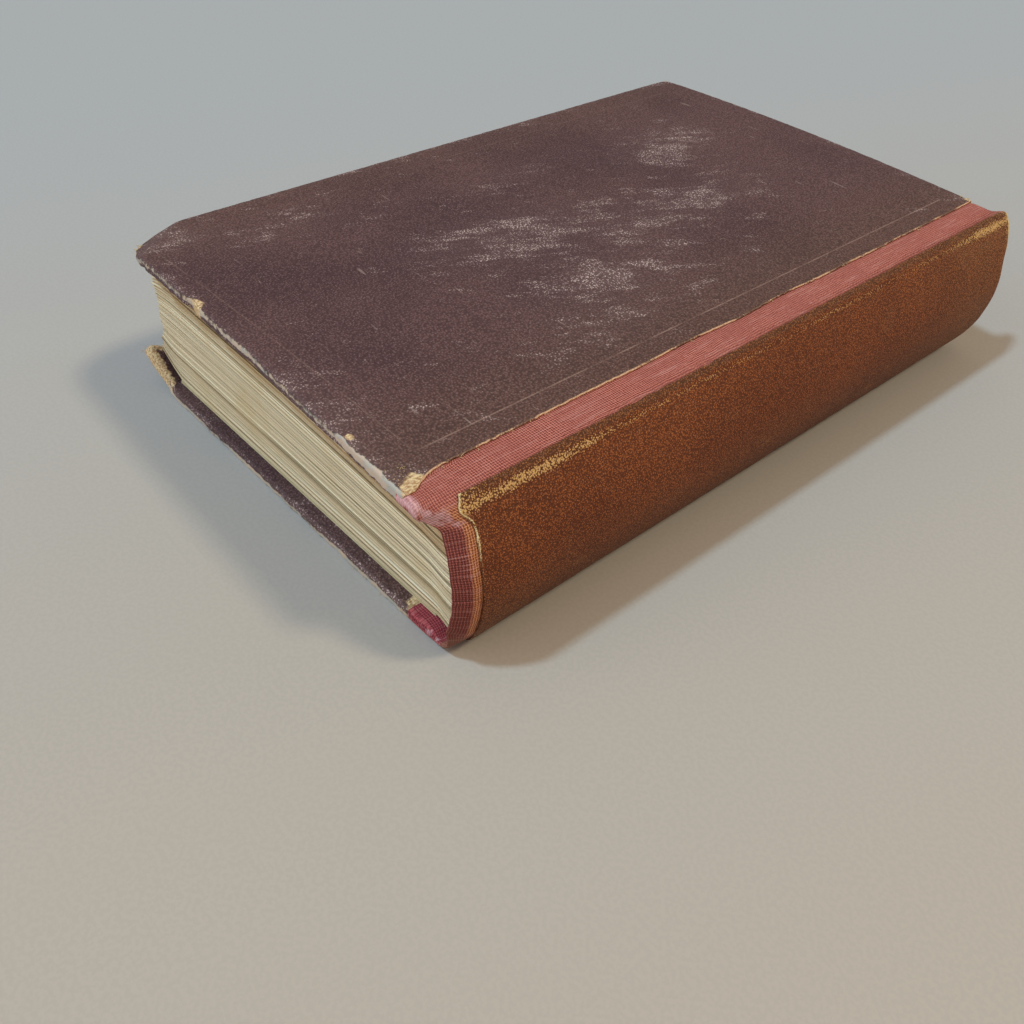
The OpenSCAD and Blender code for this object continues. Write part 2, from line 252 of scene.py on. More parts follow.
class Finish:
    """The finish of one material: its shader and what feeds it."""

    def __init__(self, name, gloss):
        self.material = bpy.data.materials.new(name)
        self.material.use_nodes = True
        self.tree = self.material.node_tree
        self.shader = self.tree.nodes["Principled BSDF"]
        self.shader.inputs["Specular IOR Level"].default_value = gloss
        self.place = self.node("ShaderNodeTexCoord", out="Object")
        self.colour = None

    def node(self, kind, settings=None, sockets=None, out=0):
        """A node of that type, from its settings and the values or links of its sockets."""
        made = self.tree.nodes.new(kind)
        for name, value in (settings or {}).items():
            setattr(made, name, value)
        for key, value in (sockets or {}).items():
            if isinstance(value, Wire):
                self.tree.links.new(value.socket, made.inputs[key])
            else:
                made.inputs[key].default_value = value
        return Wire(self, made.outputs[out])

    def mix(self, factor, under, over):
        """One colour laid over another by a mask: sockets 6 and 7 take colours and 2 gives one."""
        return self.node("ShaderNodeMix", {"data_type": "RGBA"},
                         {0: factor, 6: under, 7: over}, out=2)

    def base(self, mask, under, over):
        """Gives the finish its first colour, which goes from one to another by a mask."""
        self.colour = self.mix(mask, under, over)

    def coat(self, mask, colour):
        """Lays a colour over what the finish has so far, by a mask."""
        self.colour = self.mix(mask, self.colour, colour)

    def split(self, vector):
        """The first two coordinates of a vector."""
        first = self.node("ShaderNodeSeparateXYZ", {}, {"Vector": vector})
        return first, Wire(self, first.socket.node.outputs["Y"])

    def stretched(self, scale, place=None):
        """Coordinates multiplied along each axis."""
        return self.node("ShaderNodeMapping", {}, {"Vector": place or self.place, "Scale": scale})

    def swept(self, degrees, length):
        """Coordinates drawn out that many times along a direction in the plane of the boards."""
        turned = (0, 0, math.radians(degrees))
        return self.node("ShaderNodeMapping", {"vector_type": "TEXTURE"}, {
            "Vector": self.place, "Rotation": turned, "Scale": (length, 1, 1)})

    def cloud(self, size, detail=3.0, place=None):
        """Soft noise with lumps of about that many millimetres."""
        return self.node("ShaderNodeTexNoise", {}, {
            "Vector": place or self.place, "Scale": 1 / (size * MM), "Detail": detail})

    def pebbles(self, size, place=None):
        """Distance to the nearest grain of a pebbled surface."""
        return self.node("ShaderNodeTexVoronoi", {"feature": "SMOOTH_F1"}, {
            "Vector": place or self.place, "Scale": 1 / (size * MM), "Smoothness": 0.35})

    def painted(self, name):
        """A value painted on the vertices."""
        return self.node("ShaderNodeAttribute", {"attribute_name": name}, out="Fac")

    def feed(self, rough, height, depth):
        """Links the colour, the roughness and a relief of that many millimetres to the shader."""
        relief = self.node("ShaderNodeBump", {}, {"Height": height, "Distance": depth * MM})
        for name, wire in (("Base Color", self.colour), ("Roughness", rough), ("Normal", relief)):
            self.tree.links.new(wire.socket, self.shader.inputs[name])


def leaf_height(level, x, y):
    """Height of a leaf, where level runs from 0 for the lowest leaf to 1 for the highest."""
    low = LEAF_LOW - SHOULDER_DROP * ease((x - DROP_FROM) / DROP_RUN)
    flat = low + level * (BOOK_T - LEAF_LOW + warp(x) - low)
    return flat + FRONT.lift(x, y) * (1 - level) ** 3 - BACK.lift(x, y) * level ** 3


def leaf_fore(level):
    """Where a leaf has its fore-edge."""
    return FRONT_FORE + SQUARE_FORE - FRONT_FORE * level + FORE_HOLLOW * 4 * level * (1 - level)


def leaf_fold(level):
    """Where a leaf meets the rounded back."""
    z = leaf_height(level, BOARD_W, BOARD_H / 2)
    return SPINE_X + math.sqrt(BLOCK_R ** 2 - (z - SPINE_Z) ** 2)


def leaf_tail(level, x):
    return (1 - level) * (front_tail(x) + SQUARE_FRONT) + level * SQUARE_BACK


def leaf_head(level, x):
    return (1 - level) * (front_tail(x) + BOARD_H - SQUARE_FRONT) + level * (BOARD_H - SQUARE_BACK)


# Bands of leaves, each with its share of the height, how far it stands out, and a groove under it.
BAND_WIDTHS = (0.5, 0.8, 1.0, 1.0, 1.3, 1.8)
STAND, PROUD, PROUD_SHARE = 0.1, 0.3, 0.08
GROOVE, STEP = 0.22, 0.16
draw = random.Random(7)
widths = [draw.choice(BAND_WIDTHS) for _ in range(BANDS)]
bounds = [sum(widths[:k]) / sum(widths) for k in range(BANDS + 1)]
stand = [draw.gauss(0, STAND) + (PROUD if draw.random() < PROUD_SHARE else 0.0)
         for _ in range(BANDS)]
rings = []
for k in range(BANDS):
    gathering = int(GATHERINGS * (bounds[k] + bounds[k + 1]) / 2)
    step = STEP * math.sin(gathering * 137)
    width = bounds[k + 1] - bounds[k]
    for share, out in ((0.0, -GROOVE), (0.2, 0.0), (0.8, 0.0)):
        rings.append((bounds[k] + share * width, stand[k] + step + out, k))
rings.append((1.0, -GROOVE, BANDS - 1))

# Shares of the length and of the width at which the sides have their points, closer at the
# corners. The fore-edge corners are rounded over that small share of a side.
ALONG = [0, 0.01, 0.025, 0.045, 0.07, 0.1, 0.13, 0.17, 0.22, 0.3, 0.38, 0.46, 0.54, 0.62, 0.7, 0.78,
         0.84, 0.88, 0.905, 0.925, 0.94, 0.955, 0.97, 0.985, 1]
UP = [0, 0.015, 0.035, 0.06, 0.09, 0.13, 0.2, 0.35, 0.5, 0.65, 0.8, 0.92, 1]
round_trip = ([(a, 0.0) for a in ALONG] + [(1.0, b) for b in UP[1:]]
              + [(a, 1.0) for a in ALONG[-2::-1]] + [(0.0, b) for b in UP[-2::-1]])
CORNER_IN, CORNER_SHARE = 0.5, 1 / 90
WAVE = 0.07
WELD = 0.0001


def waver(x, y, z):
    """Smooth noise around 0."""
    return noise.noise(Vector((x, y, z)))


def leaf_edge(i, j):
    """A point of the block's sides: i goes once round it and j goes up through the bands."""
    a, b = round_trip[i]
    level, out, band = rings[j]
    wave = WAVE * waver(a * 5, b * 7, band * 1.7)
    x0 = leaf_fore(level) - (out if a == 0 or b in (0.0, 1.0) else 0) - wave
    x1 = leaf_fold(level)
    x = x0 + a * (x1 - x0)
    y0, y1 = leaf_tail(level, x) - out - wave, leaf_head(level, x) + out + wave
    y = y0 + b * (y1 - y0)
    at_fore, at_tail, at_head = (nearness(share, CORNER_SHARE) for share in (a, b, 1 - b))
    rounding = CORNER_IN * at_fore * (at_tail + at_head)
    return Vector((x + rounding, y, leaf_height(level, x, y)))


around = len(round_trip)
pages = sheet(around - 1, len(rings) - 1, leaf_edge)
unwrap(pages, "leaves", lambda v: (v.index % around / around, rings[v.index // around][0]))
bmesh.ops.remove_doubles(pages, verts=pages.verts, dist=WELD)
caps = bmesh.ops.holes_fill(pages, edges=[e for e in pages.edges if e.is_boundary], sides=0)
bmesh.ops.triangulate(pages, faces=caps["faces"])
bmesh.ops.recalc_face_normals(pages, faces=pages.faces)
# Leaves near the top of the block get painted shade, as under the back board.
paint(pages, deep=lambda p: ease((p.z - 35.5) / 4.5))

paper = Finish("old_paper", 0.2)
leaf_uv = paper.node("ShaderNodeUVMap", {"uv_map": "leaves"})


def leaf_lines(count, length):
    """Lines along the leaves: so many over the block's height, each that share of its girth."""
    drawn_out = paper.stretched((1 / (count * length), 1.0, 1.0), leaf_uv)
    return paper.cloud(1 / (count * MM), 2.0, drawn_out)


leaves = leaf_lines(230, 0.5)
sections = leaf_lines(34, 1.0)
# Lines of painted highlight, where single leaf edges catch the light, and of painted shade, in the
# gaps between leaves.
leaf_edge_highlights = leaf_lines(150, 0.8)
leaf_gap_shade = leaf_lines(170, 0.7)
mottle = paper.cloud(11.0)
paper.base(leaves.rise(0.36, 0.64), dye(194, 175, 140), dye(231, 214, 182))
paper.coat(sections.rise(0.4, 0.62) * 0.45, dye(206, 190, 156))
# Painted shade in the gaps between leaves, then painted highlights on single leaf edges.
paper.coat(leaf_gap_shade.rise(0.57, 0.6) * 0.75, dye(110, 94, 64))
paper.coat(leaf_edge_highlights.rise(0.59, 0.62) * 0.85, dye(246, 235, 206))
paper.coat(mottle.rise(0.5, 0.75) * 0.35, dye(200, 174, 124))
# Painted shade on the top leaves, under the back board.
paper.coat(paper.painted("deep") * 0.3, dye(176, 164, 128))
paper.feed(0.82 + 0.1 * leaves, leaves + 0.6 * leaf_edge_highlights - 0.5 * leaf_gap_shade, 0.08)
bind(pages, "pages", paper, "block", ["text_block"], angle=70)

# Free endpapers and pasted endpapers: one folded sheet of cream paper at each end of the block,
# half of it glued to the inside of the board over the turned-in cloth.
endpaper = Finish("endpaper", 0.25)
yellowed = endpaper.cloud(30.0)
foxing = endpaper.cloud(1.6, 4.0).rise(0.62, 0.74)
endpaper.base(yellowed.rise(0.3, 0.7), dye(206, 194, 156), dye(192, 176, 134))
endpaper.coat(foxing * 0.6, dye(150, 112, 66))
endpaper.feed(0.8 + 0.1 * yellowed, endpaper.cloud(0.7), 0.03)


def dress(finish, *nodes):
    """Gives pieces whose CAD shape stays their finish."""
    for node in nodes:
        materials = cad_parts[node].data.materials
        materials.clear()
        materials.append(finish.material)


dress(endpaper, "front_flyleaf", "back_flyleaf", "front_pastedown", "back_pastedown")

# Mull and its flanges: open gauze, glued over the backs of the gatherings and on to the boards.
# The stiffener is a strip of brown paper, glued inside the new spine cloth over the hollow back.
# All of them are hidden in the closed book.
SHOULDER_A = math.asin(HALF_CHORD / SPINE_R)
PANEL_IN, STIFFENER_UNDER = 0.6, 0.55
CLOTH_R = SPINE_R - PANEL_IN
STIFFENER_R, STIFFENER_T = CLOTH_R - STIFFENER_UNDER, 0.3
STIFFENER_IN, STIFFENER_ARC = 8.0, 0.85
STIFFENER_COLUMNS, STIFFENER_ROWS = 40, 60
# Slip of the rounded back towards the head at its middle, what is added high up, low down and at
# the upper corner of the head, and the heights over which each end settles under the back board.
SLIP, SLIP_HIGH, SLIP_LOW, SLIP_CORNER = 3.4, 0.6, 2.0, 1.2
TAIL_SETTLES, HEAD_SETTLES = 5.5, 1.6


def spine_ends(z):
    """Where the rounded back, which has slipped towards the head, has its tail and its head end."""
    slip = SLIP + SLIP_HIGH * ease((z - 28) / 10) + SLIP_LOW * ease((14 - z) / 14)
    head_slip = (slip + SLIP_CORNER * ease((z - 36) / 4)) * ease((BOOK_T + 0.3 - z) / HEAD_SETTLES)
    return slip * ease((BOOK_T - z) / TAIL_SETTLES), BOARD_H + head_slip


def round_point(angle, radius=CLOTH_R, y=0.0):
    """A point on the round of the back."""
    return Vector((SPINE_X + radius * math.cos(angle), y, SPINE_Z + radius * math.sin(angle)))


def stiffener_point(i, j):
    p = round_point(SHOULDER_A * (2 * i / STIFFENER_COLUMNS - 1) * STIFFENER_ARC, STIFFENER_R)
    tail, head = spine_ends(p.z)
    span = head - tail - 2 * STIFFENER_IN
    return Vector((p.x, tail + STIFFENER_IN + span * j / STIFFENER_ROWS, p.z))


gauze = Finish("gauze", 0.2)
GAUZE_SCALE = 330.0
crossing = [gauze.node("ShaderNodeTexWave", {"bands_direction": way},
                       {"Vector": gauze.place, "Scale": GAUZE_SCALE}) for way in "YZ"]
threads = crossing[0].most(crossing[1])
gauze.base(threads, dye(150, 132, 100), dye(206, 192, 158))
gauze.feed(0.9 - 0.1 * threads, threads, 0.15)
dress(gauze, "spine_mull", "front_mull_flange", "back_mull_flange")


def thicken(piece, thickness, side):
    """Gives a sheet its thickness: half on each side for 0, or all of it under its face for -1."""
    wall = piece.modifiers.new("thickness", "SOLIDIFY")
    wall.thickness, wall.offset = thickness * MM, side


inlay = Finish("inlay_paper", 0.25)
pulp = inlay.cloud(1.2, 5.0)
inlay.base(pulp, dye(120, 98, 68), dye(150, 126, 92))
inlay.feed(0.85 + 0.1 * pulp, pulp, 0.05)
stiffener = sheet(STIFFENER_COLUMNS, STIFFENER_ROWS, stiffener_point)
bmesh.ops.recalc_face_normals(stiffener, faces=stiffener.faces)
strip = bind(stiffener, "spine_stiffener", inlay, "block", ["spine_inlay"])
thicken(strip, STIFFENER_T, 0)

# Millboards of both covers: grey rope-fibre board, rolled hard, sawn to size. Their edges are
# crushed and nibbled where the cloth has worn through.
CLOTH_T = 0.35
BOARD_DEEP = 2.65
CORNER_R = 2.4
GLUE = 0.05
LAP_FROM = BOARD_W - 13.5
BOARD_CELL = 2.0
COVERS = ((FRONT, "front_cover", "front"), (BACK, "back_cover", "back"))
# Bites out of the back board's tail edge: middle from the fore-edge, half width, depth.
BITES = ((37.5, 2.2, 0.6), (63.5, 2.5, 0.35), (96, 2.0, 0.12), (22, 2.5, 0.2))
TAIL_EDGE, FORE_EDGE, HEAD_EDGE = 0, 1, 2
EDGE_REACH = 3.5
# How far each bent tail corner is worn down, or spread out where it is less than 0, and how far
# the head corners are worn down, each with how far that reaches.
TIP_WORN, TIP_REACH = {BACK: 2.2, FRONT: -2.6}, 9
HEAD_WORN, HEAD_REACH = 0.4, 7


def bump(x, middle, width):
    """1 at the middle and about a third at that width from it."""
    return math.exp(-((x - middle) / width) ** 2)


def fade(distance, width):
    """1 up to no distance, and then down to about a third at that width."""
    return bump(max(0.0, distance), 0, width)


def nibble(cover, along, edge):
    """How far wear has eaten into an edge of a cover, by the place along that edge."""
    seed = Vector((along * 0.45, edge * 31.0, cover.legs[0]))
    worn = 0.12 + 0.2 * noise.noise(seed) + 0.14 * noise.noise(seed * 3.1)
    if edge == TAIL_EDGE and cover is BACK:
        for middle, width, deep in BITES:
            worn += deep * bump(along, middle, width)
    return max(0.0, worn)


def eaten(cover, a, b):
    """A point of a cover, moved in from its edges by the wear there."""
    fore, tail, head = (nearness(gap, EDGE_REACH) ** 2 for gap in (a, b, BOARD_H - b))
    corner = TIP_WORN[cover] * nearness(math.hypot(a, b), TIP_REACH)
    corner += HEAD_WORN * nearness(math.hypot(a, BOARD_H - b), HEAD_REACH)
    inward = corner if b < BOARD_H / 2 else -corner
    return (a + fore * nibble(cover, b, FORE_EDGE) + corner,
            b + tail * nibble(cover, a, TAIL_EDGE) - head * nibble(cover, a, HEAD_EDGE) + inward)


def cover_plan(width, inset, cell):
    """The flat outline of one layer of a cover as a grid, with rounded corners at the fore-edge."""
    columns, rows = round((width - inset) / cell), round((BOARD_H - 2 * inset) / cell)
    radius = CORNER_R - inset

    def spread(i, j):
        a = inset + (width - inset) * i / columns
        b = inset + (BOARD_H - 2 * inset) * j / rows
        for middle, way in ((inset + radius, 1), (BOARD_H - inset - radius, -1)):
            u, w = (inset + radius - a) / radius, (middle - b) * way / radius
            if u > 0 and w > 0:
                pull = max(u, w) / math.hypot(u, w)
                a, b = inset + radius * (1 - u * pull), middle - way * w * pull * radius
        return Vector((a, b, 0.0))

    return sheet(columns, rows, spread)


def shape_cover(bm, cover):
    """Wears the edges of a flat layer, then warps it and bends its corner."""
    for v in bm.verts:
        a, b = eaten(cover, v.co.x, v.co.y)
        v.co = cover.point(a, b, v.co.z)


board_finish = Finish("millboard", 0.25)
fibre = board_finish.cloud(0.7, 4.0, board_finish.stretched((1, 1, 5)))
board_finish.base(fibre.rise(0.35, 0.65), dye(150, 140, 120), dye(190, 182, 162))
board_finish.feed(0.85 + 0.1 * fibre, fibre, 0.15)

for cover, body, side in COVERS:
    board = cover_plan(BOARD_W - GLUE, CLOTH_T + 2 * GLUE, BOARD_CELL)
    for v in board.verts:
        v.co.z = CLOTH_T * (1 if v.co.x < LAP_FROM else 2) + GLUE
    walls = bmesh.ops.extrude_face_region(board, geom=list(board.faces))
    for v in walls["geom"]:
        if isinstance(v, bmesh.types.BMVert):
            v.co.z = BOARD_DEEP - (0 if v.co.x < LAP_FROM else CLOTH_T) - GLUE
    shape_cover(board, cover)
    bmesh.ops.recalc_face_normals(board, faces=board.faces)
    bind(board, side + "_millboard", board_finish, body, [side + "_board"], angle=40)

# Covering cloth of both boards: dark maroon book cloth, calendered with a pebbled grain, glued over
# the board, turned in over its edges and blind-ruled near them. It was lifted and cut back at the
# joint, and is rubbed pale on the grain and through to the board along the edges.
CUT_BACK = 4.9
CLOTH_W = BOARD_W - CUT_BACK
TURN_IN = 14.0
EDGE_R = 0.75
CLOTH_DEEP = 3.0
CLOTH_CELL = 1.0
CLOTH_WELD = 0.002


def edge_profile():
    """Where the cloth goes from the rounded outer edge to the inner end of its turn-in."""
    steps = [(EDGE_R * (1 - math.sin(t)), EDGE_R * (1 - math.cos(t)))
             for t in (math.radians(22.5 * k) for k in range(1, 5))]
    steps += [(0.0, 1.25), (0.0, 1.75)]
    steps += [(EDGE_R * (1 - math.cos(t)), CLOTH_DEEP - EDGE_R * (1 - math.sin(t)))
              for t in (math.radians(30 * k) for k in range(4))]
    return steps + [(inset, CLOTH_DEEP) for inset in (1.6, 2.6, 4, 5.5, 7, 8.5, 10, 12, TURN_IN)]


def covering():
    """The flat face of the covering cloth, with its edges turned in round three sides."""
    bm = cover_plan(CLOTH_W, EDGE_R, CLOTH_CELL)
    start = bm.verts.layers.float_vector.new("start")
    outward = bm.verts.layers.float_vector.new("outward")
    rim = [e for e in bm.edges
           if e.is_boundary and not all(v.co.x > CLOTH_W - 0.01 for v in e.verts)]
    for v in {v for e in rim for v in e.verts}:
        side = -1 if v.co.y < BOARD_H / 2 else 1
        past_a = max(0.0, CORNER_R - v.co.x)
        past_b = max(0.0, CORNER_R - v.co.y if side < 0 else v.co.y - BOARD_H + CORNER_R)
        v[start], v[outward] = v.co.copy(), Vector((-past_a, side * past_b, 0)).normalized()
    for inset, depth in edge_profile():
        made = bmesh.ops.extrude_edge_only(bm, edges=rim)["geom"]
        points = {v for v in made if isinstance(v, bmesh.types.BMVert)}
        rim = [e for e in made
               if isinstance(e, bmesh.types.BMEdge) and all(v in points for v in e.verts)]
        for v in points:
            at = v[start] + v[outward] * (EDGE_R - inset)
            v.co = Vector((max(at.x, inset), min(max(at.y, inset), BOARD_H - inset), depth))
    bmesh.ops.remove_doubles(bm, verts=bm.verts, dist=CLOTH_WELD)
    return bm


# Scuffs on the outer faces: middle from the fore-edge and the tail, half widths, strength.
SCUFFS = {
    BACK: ((57, 77, 13, 20, 0.85), (86, 76, 12, 22, 0.75), (42, 142, 10, 16, 0.8),
           (69, 130, 10, 24, 0.75), (50, 58, 8, 14, 0.45), (101, 67, 6, 18, 0.4),
           (36, 158, 12, 12, 0.45), (18, 34, 7, 16, 0.45), (9, 10, 7, 8, 0.8),
           (70, 104, 16, 14, 0.4), (100, 110, 8, 20, 0.25), (30, 100, 8, 22, 0.3)),
    FRONT: ((60, 95, 24, 36, 0.7), (30, 50, 14, 20, 0.5), (92, 140, 12, 26, 0.5),
            (24, 160, 12, 16, 0.6), (12, 14, 12, 14, 0.8)),
}
# Bare spots on the tail edge: middle from the fore-edge, half width, strength.
BARE_SPOTS = {
    BACK: ((40, 2.6, 0.6), (97, 1.5, 0.5), (108, 8, 0.55), (115, 4, 0.6), (4, 5, 0.5),
           (60, 7, 0.12)),
    FRONT: ((3, 6, 0.9), (20, 8, 0.3), (52, 10, 0.35), (90, 6, 0.5), (104, 6, 0.4)),
}


def rubbed(cover, a, b):
    """How much the grain is rubbed at a place, from the scuffs and the rims of the board."""
    amount = sum(deep * bump(a, x, w) * bump(b, y, h) for x, y, w, h, deep in SCUFFS[cover])
    far = ease((a - 60) / 35)
    tail = (0.55 + 0.45 * far) * math.exp(-b / (2.5 + 4.5 * far))
    fore, head = 0.8 * math.exp(-a / 2), 0.7 * math.exp(-(BOARD_H - b) / 2)
    return min(1.0, amount + max(tail, fore, head))


def bared(cover, a, b, depth):
    """How nearly the cloth is worn through at a place."""
    spots = sum(deep * bump(a, x, w) for x, w, deep in BARE_SPOTS[cover])
    tail = (0.42 + spots) * math.exp(-b / 0.7)
    edges = max(tail, 0.42 * math.exp(-a / 0.5), 0.4 * math.exp(-(BOARD_H - b) / 0.5))
    corners = bump(math.hypot(a, b), 0, 3) + bump(math.hypot(a, BOARD_H - b), 0, 2.5)
    inner = 1.0 if depth < 1.3 else math.exp(-(depth - 1.3) * 1.1)
    return (edges + 0.6 * corners) * inner


def frayed(cover, a, b, depth):
    """Where the cloth is teased out into its pale threads."""
    from_cut, from_tip = CLOTH_W - a, math.hypot(a, b)
    torn = 1.2 * fade(from_cut, 2.4) * bump(b, 3.4, 3.0)
    torn += 0.7 * bump(from_cut, 0, 4) * bump(BOARD_H - b, 0, 2.0)
    if cover is BACK:
        torn += 0.95 * bump(from_tip, 0, 3.3)
        torn += 0.9 * bump(a, 40, 2.6) * bump(b, 0, 2.2)
        torn += 0.8 * bump(a, 97.3, 1.2) * bump(b, 1.4, 1.3)
    else:
        torn += 0.95 * bump(from_tip, 0, 12) * bump(min(a, b), 0, 2.0)
    return torn * (1 if depth < 3.1 else 0.3)


cloth = Finish("pebbled_book_cloth", 0.28)
plan_uv = cloth.node("ShaderNodeUVMap", {"uv_map": "plan"})
from_fore, from_tail_edge = cloth.split(plan_uv)
grain = cloth.pebbles(0.5)
fuzz = cloth.cloud(0.35, 2.0)
broad = cloth.cloud(42.0, 3.0)
hazy = cloth.cloud(4.6, 6.0, cloth.swept(62, 1.7))
streak = cloth.cloud(1.5, 4.0, cloth.swept(62, 7))
rub, bare, fray, warm = (cloth.painted(name) for name in ("rub", "bare", "fray", "warm"))
cloth.base(broad.rise(0.38, 0.62), dye(80, 54, 57), dye(94, 66, 66))
cloth.coat(warm * 0.8, dye(103, 74, 60))
cloth.coat(grain.rise(0.35, 0.75) * 0.6, dye(52, 35, 36))
cloth.coat((1 - grain).rise(0.64, 0.88) * 0.45, dye(130, 104, 100))
smudge = (0.75 * rub + 2.2 * hazy + 1.2 * streak - 1.93).rise(0.0, 0.75)
cloth.coat((0.5 * rub + smudge) * 0.24, dye(136, 114, 110))
speck = (1 - grain) * 0.62 + fuzz * 0.38
rubbed_tops = (speck + 0.1 * smudge).rise(0.6, 0.74) * (0.2 + 0.4 * smudge)
cloth.coat(rubbed_tops, dye(158, 130, 126))
bright_tops = (speck + 0.12 * streak).rise(0.66, 0.74) * smudge * 0.95
cloth.coat(bright_tops, dye(206, 186, 180))
cracks = cloth.cloud(1.6, 2.0, cloth.stretched((0.1, 1, 1))).rise(0.715, 0.73)
cloth.coat(cracks * hazy.rise(0.45, 0.6) * 0.4, dye(170, 150, 142))

# Blind rules on the outer face, this far in from the cut, the fore-edge, the tail and the head.
# The tail rule isn't square to the others, and each stops just past the one it meets.
RULE_HALF = 0.3
RULE_CUT, RULE_FORE, RULE_TAIL, RULE_HEAD = 5.6, 9.0, 3.6, 8.0
RULE_SLOPE = 0.0465
RULE_CROSS, RULE_SOFT = 0.4, 0.1
from_slope = from_tail_edge - from_fore * RULE_SLOPE


def rule_line(distance, at):
    """1 on a rule at that distance in millimetres, and 0 beside it."""
    off = distance - at * MM
    return off.math("ABSOLUTE", off).rise(RULE_HALF * MM, 0.0)


def past_line(distance, at, soft):
    """1 past a line at that distance, or before it where its soft edge is less than 0."""
    return distance.rise(at * MM, (at + soft) * MM)


joint_rule = rule_line(from_fore, CLOTH_W - RULE_CUT)
fore_rule = rule_line(from_fore, RULE_FORE)
tail_rule = rule_line(from_slope, RULE_TAIL)
head_rule = rule_line(from_tail_edge, BOARD_H - RULE_HEAD)
inside = (past_line(from_fore, RULE_FORE - RULE_CROSS, 2 * RULE_SOFT)
          * past_line(from_fore, CLOTH_W - RULE_CUT + RULE_CROSS, -RULE_SOFT)
          * past_line(from_slope, RULE_TAIL - RULE_CROSS, RULE_SOFT)
          * past_line(from_tail_edge, BOARD_H - RULE_HEAD + RULE_CROSS, -RULE_SOFT))
rule = (joint_rule * 0.85).most(fore_rule * 0.25)
rule = rule.most(tail_rule * 0.35).most(head_rule * 0.25) * inside
cloth.coat(rule * hazy.rise(0.25, 0.6) * 0.7, dye(164, 134, 120))

scaled = 0.55 * cloth.cloud(1.3, 4.0) + 0.18 * fuzz
edge_worn = (bare + scaled - 0.28).rise(0.42, 0.56)
pith = cloth.mix(cloth.cloud(2.6, 4.0).rise(0.4, 0.6), dye(176, 172, 162), dye(196, 176, 156))
cloth.coat(edge_worn, pith)
fluff = (fray + scaled - 0.3).rise(0.4, 0.6)
strands = cloth.cloud(0.38, 3.0, cloth.stretched((1, 0.5, 1))).rise(0.35, 0.65)
cloth.coat(fluff, cloth.mix(strands, dye(170, 132, 94), dye(228, 204, 158)))
cut = from_fore.rise((CLOTH_W - 0.45) * MM, (CLOTH_W - 0.1) * MM)
cut = cut * (0.25 + 1.4 * (hazy + 0.4 * fuzz - 0.2).rise(0.42, 0.52))
cloth.coat(cut * 0.6, dye(226, 184, 148))
relief = (1 - grain) * (1 - edge_worn) + 0.3 * fuzz
relief = relief - 0.5 * rule - 0.8 * edge_worn - 0.4 * fluff
cloth.feed(0.62 + 0.2 * smudge.most(edge_worn) - 0.08 * fuzz, relief, 0.2)

# Depths to which the face and its rim reach, and the wear of the turned-in cloth past them.
FACE_DEEP, RIM_DEEP, INSIDE_RUB = 0.3, 2.9, 0.12
# Reach of the ragged cut, and the tongue of cloth that is left on it at the back board's tail.
CUT_REACH, TONGUE, TONGUE_REACH = 1.5, 2.8, 6


def face_outward(bm, spot, out):
    """Turns the faces of a sheet so that the one nearest to a spot looks that way."""
    bmesh.ops.recalc_face_normals(bm, faces=bm.faces)
    nearest = min(bm.faces, key=lambda f: (f.calc_center_median() - spot).length)
    if nearest.normal.dot(out) < 0:
        bmesh.ops.reverse_faces(bm, faces=bm.faces)


for cover, body, side in COVERS:
    skin = covering()
    paint(skin, rub=lambda p: rubbed(cover, p.x, p.y) if p.z < RIM_DEEP else INSIDE_RUB,
          bare=lambda p: bared(cover, p.x, p.y, p.z),
          fray=lambda p: frayed(cover, p.x, p.y, p.z),
          warm=lambda p: ease((p.x - 78) / 40) * 0.9 + 0.35 * ease((30 - p.x) / 30))
    unwrap(skin, "plan", lambda v: v.co.xy * MM if v.co.z < FACE_DEEP else (-1.0, -1.0))
    for v in skin.verts:
        last = nearness(CLOTH_W - v.co.x, CUT_REACH)
        ragged = 0.3 * waver(v.co.y * 0.9, 3.0, 1.0) + 0.5 * waver(v.co.y * 0.06, 8.0, 1.0)
        v.co.x += last * (ragged - 0.05)
        if cover is BACK:
            tongue = TONGUE * bump(v.co.y, 1.6, 4.4)
            v.co.x += tongue * ease(1 - (CLOTH_W - v.co.x) / TONGUE_REACH)
    shape_cover(skin, cover)
    face_outward(skin, cover.point(BOARD_W / 2, BOARD_H / 2, 0), Vector((0, 0, -cover.inward)))
    stands = [side + "_cloth"]
    piece = bind(skin, side + "_board_cloth", cloth, body, stands, angle=60)
    thicken(piece, CLOTH_T * 0.9, -1)

# Loose threads, where the cloth has frayed at its cut edges and worn corners: fine undyed cotton
# ends, a few millimetres long, that still hang from the weave.
THREAD_R = 0.07
THREAD_SIDES, THREAD_STEPS, THREAD_TAPER = 5, 6, 0.86
THREAD_CURL = 0.8


def loose_thread(bm, root, way, length, draw):
    """A thin tapered thread that curls away from its root."""
    end = bmesh.ops.create_circle(bm, segments=THREAD_SIDES, radius=THREAD_R)["verts"]
    curl = Vector((draw.gauss(0, 1), draw.gauss(0, 1), draw.gauss(0, 0.5)))
    at = root.copy()
    aimed = Matrix.Translation(at) @ way.to_track_quat("Z", "Y").to_matrix().to_4x4()
    bmesh.ops.transform(bm, matrix=aimed, verts=end)
    for _ in range(THREAD_STEPS):
        rim = [e for e in bm.edges if e.verts[0] in end and e.verts[1] in end]
        made = bmesh.ops.extrude_edge_only(bm, edges=rim)["geom"]
        end = [v for v in made if isinstance(v, bmesh.types.BMVert)]
        onward = at + way * length / THREAD_STEPS
        turned = (way + curl * (THREAD_CURL / THREAD_STEPS)).normalized()
        move = (Matrix.Translation(onward) @ way.rotation_difference(turned).to_matrix().to_4x4()
                @ Matrix.Scale(THREAD_TAPER, 4) @ Matrix.Translation(-at))
        bmesh.ops.transform(bm, matrix=move, verts=end)
        at, way = onward, turned


fluffy = Finish("undyed_thread", 0.2)
twist = fluffy.cloud(0.4, 2.0)
fluffy.base(twist, dye(170, 136, 92), dye(228, 208, 160))
fluffy.feed(0.85 + 0.1 * twist, twist, 0.05)
